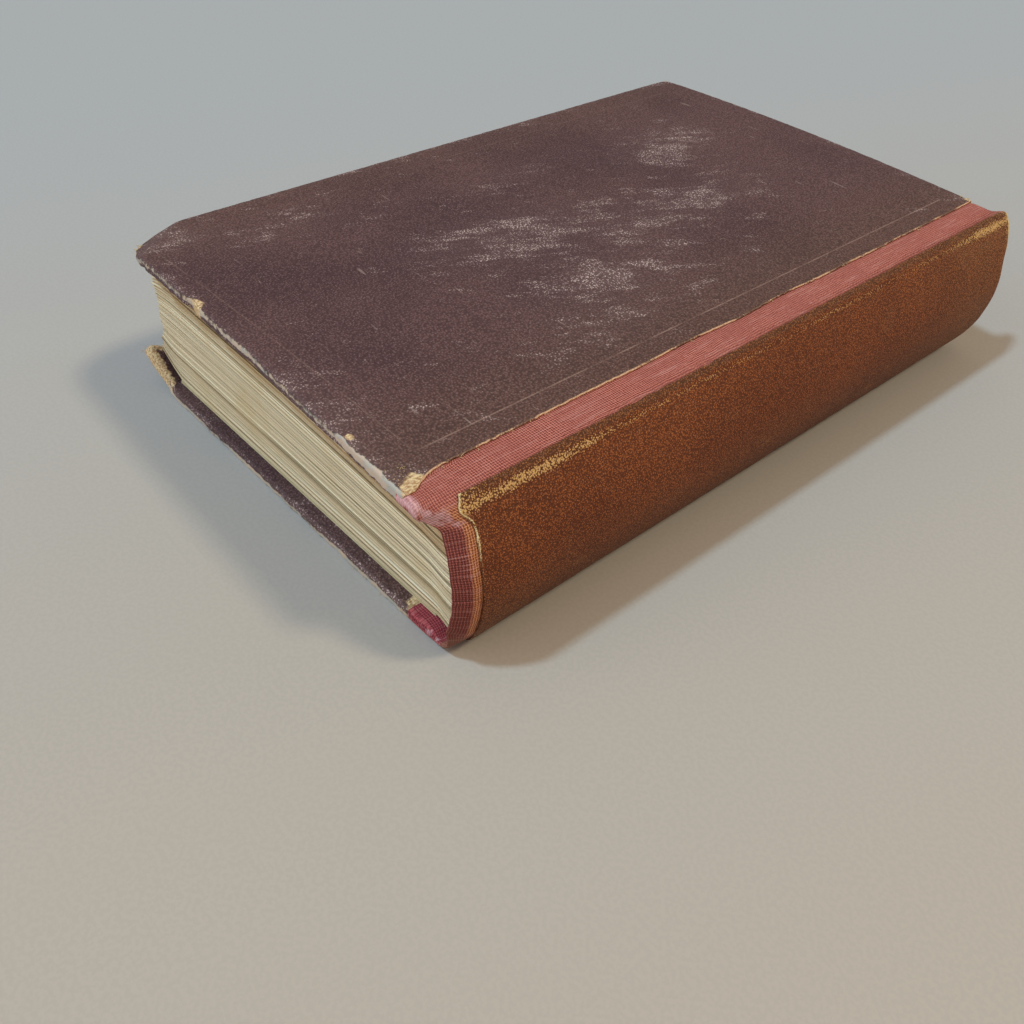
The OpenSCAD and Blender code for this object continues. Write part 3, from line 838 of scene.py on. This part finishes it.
# Where threads hang: from and to across the cover, from and to along it, and how many.
FRAYED = {
    BACK: ((108, 113.4, 0.2, 5.0, 26), (112.9, 113.4, 3, 180, 22), (37, 44, 0.1, 0.8, 16),
           (0.4, 3.5, 0.2, 3.0, 14), (96, 99, 0.1, 0.6, 6), (109, 113, 188.6, 189.6, 10),
           (0.3, 2, 187.5, 189.5, 8)),
    FRONT: ((0.4, 8, 0.1, 0.7, 30), (0.1, 0.5, 0.5, 9, 18), (88, 104, 0.1, 0.5, 12),
            (107, 112.6, 0.1, 0.6, 8)),
}
for cover, body, side in COVERS:
    draw = random.Random(11 if cover is BACK else 12)
    hairs = bmesh.new()
    for a0, a1, b0, b1, count in FRAYED[cover]:
        for _ in range(count):
            a, b = eaten(cover, draw.uniform(a0, a1), draw.uniform(b0, b1))
            on_face = b > 1.0 and a > 1.0
            depth = draw.uniform(0.0, 0.2) if on_face else draw.uniform(0.2, 2.4)
            root = cover.point(a, b, depth)
            out_x = 1 if a > 100 and b > 1 else -0.7 * (a < 2)
            out_y = -1 if b < 2 else (b > 187) * 1.0
            stray = Vector((draw.gauss(0, 0.5), draw.gauss(0, 0.5), -cover.inward * 0.25))
            way = (Vector((out_x, out_y, 0)) + stray).normalized()
            loose_thread(hairs, root, way, draw.uniform(0.4, 1.2), draw)
    bmesh.ops.recalc_face_normals(hairs, faces=hairs.faces)
    for v in hairs.verts:
        v.co.z = max(v.co.z, THREAD_R)
    bind(hairs, side + "_loose_threads", fluffy, body)

# New spine cloth: rose-red woven canvas, glued over the joints and the hollow back, tucked under
# the lifted cloth of both boards, turned in at tail and head and rolled over into soft caps.
# Radii round which the ends are turned in, how the caps fall in towards the leaves, and how much
# of that slope their rolled rims take.
BOARD_EDGE_R, CAP_EDGE_R = 1.325, 0.42
EDGE_SQUARE = 0.62
CAP_FALL, CAP_LENGTH = 0.76, 3.3
CAP_LEAN, CAP_SLACK = 0.97, 0.6
CLOTH_END = 12.0
# How far the cloth reaches over the boards, where it leaves each, over what width it parts from
# the front one, how far short of the shoulder it meets the round, and how it is tucked under the
# old cloth.
REACH = 11.0
LEAVES_BACK, LEAVES_FRONT, PARTS_OVER = BOARD_W - 0.3, 116.2, 5.5
MEETS_ROUND = math.radians(4)
TUCK, TUCK_DEEP, TUCK_RUN = 0.9, 0.15, 1.5
FLAT_CELLS, BRIDGE_CELLS, ARC_CELLS, RUN_CELLS = 22, 10, 34, 74
CANVAS_T = 0.3
TABLE_GAP = 0.05


def cap_fall(s):
    """How far the face of the cap has fallen in at a distance from its end."""
    return CAP_FALL / 2 * (CAP_LENGTH - s + math.sqrt((CAP_LENGTH - s) ** 2 + 0.5))


def cap_share(z, at_head):
    """How much of that fall an end of the spine has at a height."""
    return 0.15 + 0.6 * ease((38 - z) / 10) if at_head else 0.2 + 0.8 * ease((z - 3) / 6)


def bridge_between(start, start_way, end, end_way, steps):
    """Points of a smooth curve between two ends with given directions."""
    reach = (end - start).length
    made = []
    for k in range(1, steps):
        t = k / steps
        made.append(start * (2 * t ** 3 - 3 * t ** 2 + 1) + end * (3 * t ** 2 - 2 * t ** 3)
                    + start_way * reach * (t ** 3 - 2 * t ** 2 + t)
                    + end_way * reach * (t ** 3 - t ** 2))
    return made


def spine_path(upper):
    """Section of the repair cloth from under the board cloth to the crown, each point with its
    share of board: 1 where it lies on the board and 0 where it has left it."""
    side = 1 if upper else -1
    edge = BOARD_W if upper else BOARD_W + FRONT_FORE
    first, last = edge - REACH, LEAVES_BACK if upper else LEAVES_FRONT
    rises = (lambda x: BOOK_T + warp(x) - CLOTH_T) if upper else (lambda x: CLOTH_T)
    flat = [Vector((first + (last - first) * k / FLAT_CELLS, 0, 0)) for k in range(FLAT_CELLS + 1)]
    for p in flat:
        p.z = rises(p.x)
    turn = SHOULDER_A - MEETS_ROUND
    start, end = flat[-1], round_point(side * turn)
    end_way = Vector((math.sin(turn), 0, -side * math.cos(turn)))
    bridge = bridge_between(start, Vector((1, 0, 0)), end, end_way, BRIDGE_CELLS)
    arc = [round_point(side * turn * (1 - k / ARC_CELLS)) for k in range(ARC_CELLS + 1)]
    if upper:
        leaving = [1 - ease((k + 1) / BRIDGE_CELLS) for k in range(len(bridge))]
        shares = [1.0] * len(flat) + leaving + [0.0] * len(arc)
    else:
        shares = [1 - ease((p.x - edge) / PARTS_OVER) for p in flat + bridge] + [0.0] * len(arc)
    return list(zip(flat + bridge + arc, shares))


def end_steps():
    """Rows of one end, from the inner edge of its turn-in, round its rim and out to plain cloth."""
    turned = [("in", 1.1 * k) for k in range(9, -1, -1)]
    around = [("rim", k / 8) for k in range(7, 0, -1)]
    face = [("out", 0.4 * k) for k in range(15)] + [("out", 6 + 0.75 * k) for k in range(9)]
    return turned + around + face


def board_end(kind, t):
    """Distance from the tail or head edge, and depth, of a row where the cloth wraps a board."""
    if kind == "out":
        return BOARD_EDGE_R + t * (1 - BOARD_EDGE_R / CLOTH_END), 0.0
    if kind == "in":
        return BOARD_EDGE_R + t * 1.3, 2 * BOARD_EDGE_R
    turn = t * math.pi
    fall = math.copysign(abs(math.cos(turn)) ** EDGE_SQUARE, math.cos(turn))
    return BOARD_EDGE_R * (1 - math.sin(turn) ** EDGE_SQUARE), BOARD_EDGE_R * (1 - fall)


def cap_end(kind, t):
    """The same where the cloth is rolled over into a cap."""
    if kind == "out":
        s = CAP_EDGE_R + t * (1 - CAP_EDGE_R / CLOTH_END)
        return s, cap_fall(s)
    if kind == "in":
        s = CAP_EDGE_R + t
        return s, cap_fall(s) + 2 * CAP_EDGE_R
    lean = math.atan(CAP_FALL * CAP_LEAN)
    turn = t * math.pi
    along, out = CAP_EDGE_R * math.sin(turn), CAP_EDGE_R * math.cos(turn)
    return (CAP_EDGE_R - along * math.cos(lean) - out * math.sin(lean) * CAP_SLACK,
            cap_fall(CAP_EDGE_R) + CAP_EDGE_R + along * math.sin(lean) - out * math.cos(lean))


def repair_cloth(upper):
    """The new cloth from one board to the crown of the spine, with its turned-in ends."""
    path = spine_path(upper)
    normals, lengths = [], [0.0]
    for k, (p, share) in enumerate(path):
        before, after = path[max(0, k - 1)][0], path[min(len(path) - 1, k + 1)][0]
        way = (after - before).normalized()
        normals.append(Vector((way.z, 0, -way.x)) * (1 if upper else -1))
        if k:
            lengths.append(lengths[-1] + (p - path[k - 1][0]).length)
    ends = end_steps()
    rows = [(False, kind, t) for kind, t in ends]
    rows += [(None, "run", k / RUN_CELLS) for k in range(1, RUN_CELLS)]
    rows += [(True, kind, t) for kind, t in reversed(ends)]

    def lay(i, j):
        """A point of the cloth: i goes along its section and j from its tail end to its head."""
        (p, share), inward = path[i], normals[i]
        at_head, kind, t = rows[j]
        board_tail = 0.0 if upper else front_tail(p.x)
        spine_tail, spine_head = spine_ends(p.z)
        lead = min(1.0, (1 - share) * 1.5)
        tail = board_tail * (1 - lead) + spine_tail * lead
        head = (board_tail + BOARD_H) * (1 - lead) + spine_head * lead
        if at_head is None:
            y, depth = tail + CLOTH_END + (head - tail - 2 * CLOTH_END) * t, 0.0
            soft = 0.0
        else:
            on_board, on_cap = board_end(kind, t), cap_end(kind, t)
            s = on_board[0] * share + on_cap[0] * (1 - share)
            fallen = cap_share(p.z, at_head)
            settled = fallen if kind == "out" else 1.0
            depth = on_board[1] * share + on_cap[1] * (1 - share) * settled
            if kind != "out":
                depth -= (1 - fallen) * (1 - share) * cap_fall(s)
            y = head - s if at_head else tail + s
            soft = (1 - s / CLOTH_END) * nearness(abs(share - 0.25), 0.75)
        under = ease((CLOTH_W + (0.8 if upper else FRONT_FORE + 0.4) - p.x) / TUCK_RUN)
        y += under * (-TUCK if at_head else TUCK) * (at_head is not None)
        depth += TUCK_DEEP * under if depth < BOARD_EDGE_R else -TUCK_DEEP * under
        lumps = 0.1 * waver(p.x * 0.35, y * 0.25, p.z * 0.35)
        folds = 0.5 * soft ** 2 * waver(lengths[i] * 0.42, y * 0.35, 5.0)
        depth += lumps * (1 - share * 0.7) + folds
        return Vector((p.x + inward.x * depth, y, p.z + inward.z * depth))

    wide = len(path)
    bm = sheet(wide - 1, len(rows) - 1, lay)
    if not upper:
        for v in bm.verts:
            v.co.z = max(v.co.z, TABLE_GAP)
    run = [0.0]
    for j in range(1, len(rows)):
        run.append(run[-1] + (lay(wide - 1, j) - lay(wide - 1, j - 1)).length)
    unwrap(bm, "weave", lambda v: (lengths[v.index % wide] * MM, run[v.index // wide] * MM))
    return bm


THREAD_SPACING, SWAY = 0.56 * MM, 0.8 * MM
canvas = Finish("rose_canvas", 0.22)
weave_uv = canvas.node("ShaderNodeUVMap", {"uv_map": "weave"})
across, along = canvas.split(weave_uv)
sway = canvas.cloud(4.0, 3.0)
warp_end = ((across + sway * SWAY) * (math.pi / THREAD_SPACING)).sine()
weft_end = ((along + sway * SWAY) * (math.pi / THREAD_SPACING)).sine()
over = warp_end * weft_end
rib = (warp_end * warp_end * (0.5 + 0.4 * over)).most(weft_end * weft_end * (0.62 - 0.3 * over))
slub = canvas.cloud(2.0, 3.0, canvas.stretched((9, 0.8, 1), weave_uv))
lint = canvas.cloud(0.42, 2.0)
height = rib * 0.75 + lint * 0.4
canvas.base(height.rise(0.3, 0.9), dye(112, 50, 46), dye(216, 136, 118))
canvas.coat(slub.rise(0.55, 0.7) * 0.35, dye(206, 142, 128))
pale_thread = canvas.cloud(0.6, 2.0, canvas.stretched((1, 0.05, 1), weave_uv))
pale_thread = pale_thread.rise(0.56, 0.66) * height
canvas.coat(canvas.cloud(14.0).rise(0.4, 0.65) * 0.35, dye(152, 84, 76))
deep_red = canvas.mix(height.rise(0.35, 1.0), dye(90, 40, 37), dye(166, 92, 80))
canvas.coat(canvas.painted("shade") * 0.92, deep_red)
crimson_thread = canvas.mix(height.rise(0.3, 0.9), dye(112, 32, 44), dye(176, 76, 88))
canvas.coat(canvas.painted("crimson") * 0.8, crimson_thread)
tan_thread = canvas.mix(height.rise(0.3, 0.85), dye(132, 70, 42), dye(222, 158, 110))
canvas.coat(canvas.painted("tan") * 0.85, tan_thread)
soiled_thread = canvas.mix(height.rise(0.3, 1.0), dye(122, 79, 65), dye(154, 104, 85))
canvas.coat(canvas.painted("soil") * 0.95, soiled_thread)
canvas.coat(pale_thread * 0.6, dye(206, 150, 140))
chafe = (0.8 * canvas.painted("chafe") + 2.2 * canvas.cloud(1.8, 4.0) - 1.25).rise(0.2, 0.7)
canvas.coat(chafe * (0.3 + 0.6 * height) * 0.9, dye(222, 180, 184))
canvas.feed(0.8 + 0.08 * height, height, 0.14)


def from_ends(p):
    """Distances from the tail end and the head end of the spine."""
    tail, head = spine_ends(p.z)
    return p.y - tail, head - p.y


def on_spine(p):
    return ease((p.x - BOARD_W - 0.5) / 2.5)


def shaded(p):
    """Where the cloth is in the shade of its folds: inside the caps and along the creases."""
    tail, head = from_ends(p)
    cap = ease((3.6 - tail) / 0.9) * ease((37.8 - p.z) / 1.2)
    dents = 0.8 * bump(p.x, 120.2, 1.2) * bump(tail, 0.9, 1.3) * bump(p.z, 39.6, 1.4)
    crease = bump(p.z + 0.2 * tail, 9.0, 0.45) * ease((4 - tail) / 1.5)
    return min(1.0, on_spine(p) * max(cap, crease, ease((1.2 - head) / 1.0)) + dents)


def crimson(p):
    """Where the cloth is still fresh, in the lower joint."""
    return ease((4.5 - p.z) / 1.5) * ease((119.5 - p.x) / 1.5)


def soiled(p):
    """Where it is brown with dirt, low on the spine."""
    return ease((9.3 - p.z) / 3) * ease((p.x - 117.5) / 2)


def chafed(p):
    """Where it is rubbed pale: on the rim, the shoulder and the lip of the tail."""
    tail = from_ends(p)[0]
    rim = fade(min(tail, p.y), 2.4) * ease((p.z - 37.0) / 1.5) * ease((p.x - 111) / 2)
    shoulder = bump(p.x, 121.5, 2.2) * bump(p.z, 39.5, 2.4) * fade(tail - 1.5, 3.0)
    lip = bump(tail, 0.4, 0.8) * (p.z < 2.6) * (p.x < 118.5)
    return min(1.0, 0.9 * rim + 0.9 * shoulder + 0.75 * lip)


def tanned(p):
    """Where it is stained tan: in a band beside the old cloth at the tail, and at the head."""
    tail, head = from_ends(p)
    band = ease((tail - 2.8) / 0.8) * ease((7.5 - tail) / 2) * ease((42.0 - p.z) / 2.5)
    return on_spine(p) * min(1.0, band * ease((p.z - 5) / 5) + bump(head, 0.6, 0.9))


CROWN, OUTWARD = Vector((CROWN_X, BOARD_H / 2, SPINE_Z)), Vector((1, 0, 0))
for upper in (True, False):
    red_cloth = repair_cloth(upper)
    paint(red_cloth, shade=shaded, crimson=crimson, soil=soiled, chafe=chafed, tan=tanned)
    face_outward(red_cloth, CROWN, OUTWARD)
    if upper:
        name, stands, body = "upper_joint_cloth", ["back_joint_cloth", "spine_cloth"], "back_cover"
    else:
        name, stands, body = "lower_joint_cloth", ["front_joint_cloth"], "front_cover"
    piece = bind(red_cloth, name, canvas, None, stands, angle=80)
    thicken(piece, CANVAS_T, -1)
    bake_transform(piece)

# Old spine cloth: the brown grained cloth of the first binding, lifted with its paper and glued
# back over the new cloth. Its ridge, ends and grain are rubbed through to gold.
PANEL_LIFT = 0.55
PANEL_CLOTH_T = 0.45
PANEL_TAIL, PANEL_HEAD = 5.0, 0.9
# Shares of its length and of its round at which it has points, closer at the ends and the ridge.
PANEL_ENDS = [0.0016 * k for k in range(20)]
PANEL_ROWS = (PANEL_ENDS + [0.032 + 0.936 * k / 150 for k in range(151)]
              + [1 - e for e in reversed(PANEL_ENDS)])
PANEL_COLUMNS = [k / 46 * 0.86 for k in range(46)] + [0.86 + 0.14 * k / 20 for k in range(21)]


def slant(z):
    """How much further the tail end is cut back near the upper edge."""
    return 3.4 * ease((z - 39.6) / 3.2)


def panel_point(angle, share):
    """A point of the panel, by its place on the round and its share of the length."""
    z = SPINE_Z + SPINE_R * math.sin(angle)
    tail, head = spine_ends(z)
    ragged = 0.25 * waver(angle * 14, 1.0, 2.0) + 0.12 * waver(angle * 60, 4.0, 2.0)
    first = tail + PANEL_TAIL + slant(z) + ragged
    last = head - PANEL_HEAD + 0.25 * waver(angle * 16, 9.0, 3.0)
    y = first + (last - first) * share
    fall = cap_share(z, False) * cap_fall(y - tail) + cap_share(z, True) * cap_fall(head - y)
    lumps = 0.1 * waver(y * 0.06, angle * 5, 0.0) + 0.05 * waver(y * 0.4, angle * 12, 7.0)
    return round_point(angle, CLOTH_R + PANEL_LIFT - fall + lumps, y)


def panel_shape(i, j):
    share = PANEL_ROWS[j]
    edge = 0.006 * waver(share * 60, 2.0, 1.0) + 0.004 * waver(share * 240, 2.0, 5.0)
    low, high = -SHOULDER_A + 0.004, SHOULDER_A - 0.012 + edge
    return panel_point(low + (high - low) * PANEL_COLUMNS[i], share)


def from_ridge(p):
    """Distance along the round from the upper edge of the panel."""
    return SPINE_R * (SHOULDER_A - math.atan2(p.z - SPINE_Z, p.x - SPINE_X))


def panel_ends(p):
    """Distances from the tail end and the head end of the panel."""
    tail, head = from_ends(p)
    return tail - PANEL_TAIL, head - PANEL_HEAD


def panel_gold(p):
    """Where the cloth is rubbed through to gold: its ridge, its corners and its ends."""
    tail, head = panel_ends(p)
    near_end = min(1.0, fade(tail - 20, 20) + fade(head - 16, 8))
    ridge = bump(from_ridge(p), 3.1, 1.0 + 0.8 * near_end) * (0.68 + 0.32 * near_end)
    corner = 0.85 * fade(tail - 3, 9) * ease((3.6 - from_ridge(p)) / 1.0)
    head_corner = 0.9 * fade(head, 5) * bump(from_ridge(p), 0, 3)
    rims = 0.42 * bump(tail, 0, 9) * ease((p.z - 8) / 10)
    rims += 0.85 * bump(head, 0, 4.5) * ease((p.z - 8) / 20)
    return min(1.0, max(ridge, corner, head_corner, rims))


def panel_rim(p):
    """Where the cut edge shows pale."""
    tail, head = panel_ends(p)
    tail_line = bump(tail - slant(p.z), 0.1, 0.25) * (0.3 + 0.5 * ease((p.z - 26) / 6))
    edge_line = (0.2 + 0.6 * bump(tail, 3, 5)) * bump(from_ridge(p), 0.2, 0.3)
    return min(1.0, tail_line + edge_line + bump(head, 0, 0.7))


def panel_faded(p):
    """Where light has faded it: near the head, and in a patch at the tail."""
    head_end = 0.8 * fade(BOARD_H - 6 - p.y, 20) + 0.3 * ease((p.y - 120) / 60)
    return head_end + 0.5 * bump(p.y, 12, 9) * bump(p.z, 12, 8)


def panel_band(p):
    """The strip along the upper edge that lay on the joint."""
    return ease((2.4 - from_ridge(p)) / 1.0)


old_cloth = Finish("old_spine_cloth", 0.3)
pits = old_cloth.pebbles(0.36)
hair = old_cloth.cloud(0.3, 2.0)
drift = old_cloth.cloud(24.0, 3.0)
smear = old_cloth.cloud(6.0, 4.0, old_cloth.stretched((1, 0.4, 1)))
gold, dull, pale_rim, band = (old_cloth.painted(name) for name in ("gold", "dull", "rim", "band"))
old_cloth.base(drift.rise(0.35, 0.65), dye(134, 68, 30), dye(156, 84, 40))
old_cloth.coat(smear.rise(0.5, 0.8) * 0.4, dye(120, 66, 44))
# Painted shade: the lower part of the panel is darker, as the light falls from above.
old_cloth.coat(dull, dye(98, 58, 38))
old_cloth.coat(old_cloth.painted("faded") * 0.7, dye(150, 96, 54))
old_cloth.coat(band * 0.7, dye(122, 84, 56))
old_cloth.coat(pits.rise(0.3, 0.6) * 0.75, dye(70, 34, 16))
# Lighter tops of the grain: worn grain, and partly painted highlight where the lamp glints on the
# satin cloth.
grain_tops_and_glints = ((1 - pits) * 0.65 + hair * 0.35).rise(0.6, 0.72)
old_cloth.coat(grain_tops_and_glints * 0.7, dye(190, 120, 66))
gilt = (gold * 0.7 + (1 - pits) * 0.8 + hair * 0.25 + smear * 0.5 - 1.29).rise(0.0, 0.3)
old_cloth.coat(gilt * gold.rise(0.05, 0.4) * 0.88, dye(220, 176, 112))
old_cloth.coat((smear * 0.7 + hair * 0.5).rise(0.72, 0.82) * 0.4, dye(186, 134, 84))
rim = (pale_rim + 0.9 * hair + 1.2 * smear - 1.2).rise(0.3, 0.6)
old_cloth.coat(rim, dye(226, 202, 148))
# Painted shade along the bottom edge of the panel, where the spine meets the table.
old_cloth.coat(old_cloth.painted("low") * 0.85, dye(44, 27, 20))
old_cloth.feed(0.55 + 0.2 * pits + 0.1 * gold, (1 - pits) + 0.3 * hair, 0.2)

panel = sheet(len(PANEL_COLUMNS) - 1, len(PANEL_ROWS) - 1, panel_shape)
# Its bottom edge gets near-black painted shade, where the spine meets the table.
# The lower part of the panel gets painted shade, darker towards the bottom.
paint(panel, gold=panel_gold, rim=panel_rim, band=panel_band, faded=panel_faded,
      dull=lambda p: ease((30 - p.z) / 26) * 0.9, low=lambda p: ease((3.5 - p.z) / 1.2))
face_outward(panel, CROWN, OUTWARD)
piece = bind(panel, "old_spine_panel", old_cloth, "block", ["spine_panel"],
             angle=80)
thicken(piece, PANEL_CLOTH_T, -1)

# Table, daylight and camera: a plain pale table, painted with the tint of the light, bluish towards
# the window and warm towards the lamp, under soft light, seen from above the tail end of the spine.
FLOOR_SPAN = 12.0
floor_bm = bmesh.new()
bmesh.ops.create_grid(floor_bm, x_segments=1, y_segments=1, size=FLOOR_SPAN / 2)
floor_mesh = bpy.data.meshes.new("table")
floor_bm.to_mesh(floor_mesh)
floor_bm.free()
table = show("table", floor_mesh)
pale = Finish("pale_table", 0.15)
mottled = pale.cloud(120.0, 2.0)
toward_right, toward_back = pale.split(pale.place)
# Painted tint of the light: bluish towards the window, warm towards the lamp.
window_lamp_tint = (toward_right * 1.3 - toward_back * 0.45 + 0.06 * mottled).rise(-0.34, 0.42)
pale.base(window_lamp_tint, dye(165, 170, 173), dye(182, 171, 157))
pale.coat(pale.cloud(0.9, 2.0).rise(0.4, 0.6) * 0.12, dye(146, 142, 136))
pale.feed(0.7 + 0.1 * mottled, mottled, 0.01)
table.data.materials.append(pale.material)

world = bpy.data.worlds.new("daylight")
bpy.context.scene.world = world
world.use_nodes = True
sky = world.node_tree.nodes["Background"].inputs
sky["Color"].default_value = (1.0, 0.8, 0.69, 1.0)
sky["Strength"].default_value = 0.385


def daylight(name, toward, strength, spread_deg, colour):
    """Light that falls evenly from one side, with soft shadows."""
    light = bpy.data.lights.new(name, "SUN")
    light.energy, light.angle, light.color = strength, math.radians(spread_deg), colour
    holder = show(name, light)
    holder.rotation_mode = "QUATERNION"
    holder.rotation_quaternion = Vector(toward).to_track_quat("Z", "Y")


daylight("window", (-0.19, -0.42, 0.89), 1.75, 5, (0.53, 0.79, 1.0))
daylight("room_lamp", (0.49, 0.3, 0.82), 1.2, 9, (1.0, 0.86, 0.62))
daylight("front_fill", (-0.25, -0.9, 0.35), 0.8, 60, (1.0, 0.98, 0.95))

CAMERA_FROM = (216.1, -65.9, 151.4)
CAMERA_AZIMUTH, CAMERA_ELEVATION, CAMERA_ROLL = 47.72, 42.99, 2.87
PHOTO_SIDE, FOCAL_PIXELS, SENSOR = 1024, 947.48, 36.0
camera = show("camera", bpy.data.cameras.new("camera"))
camera.data.sensor_width = SENSOR
camera.data.lens = SENSOR * FOCAL_PIXELS / PHOTO_SIDE
camera.data.clip_start = 0.01
camera.matrix_world = (Matrix.Translation(PLACE @ Vector(CAMERA_FROM))
                       @ Matrix.Rotation(math.radians(CAMERA_AZIMUTH), 4, "Z")
                       @ Matrix.Rotation(math.radians(90 - CAMERA_ELEVATION), 4, "X")
                       @ Matrix.Rotation(math.radians(CAMERA_ROLL), 4, "Z"))
bpy.context.scene.camera = camera
bpy.context.scene.view_settings.view_transform = "Standard"
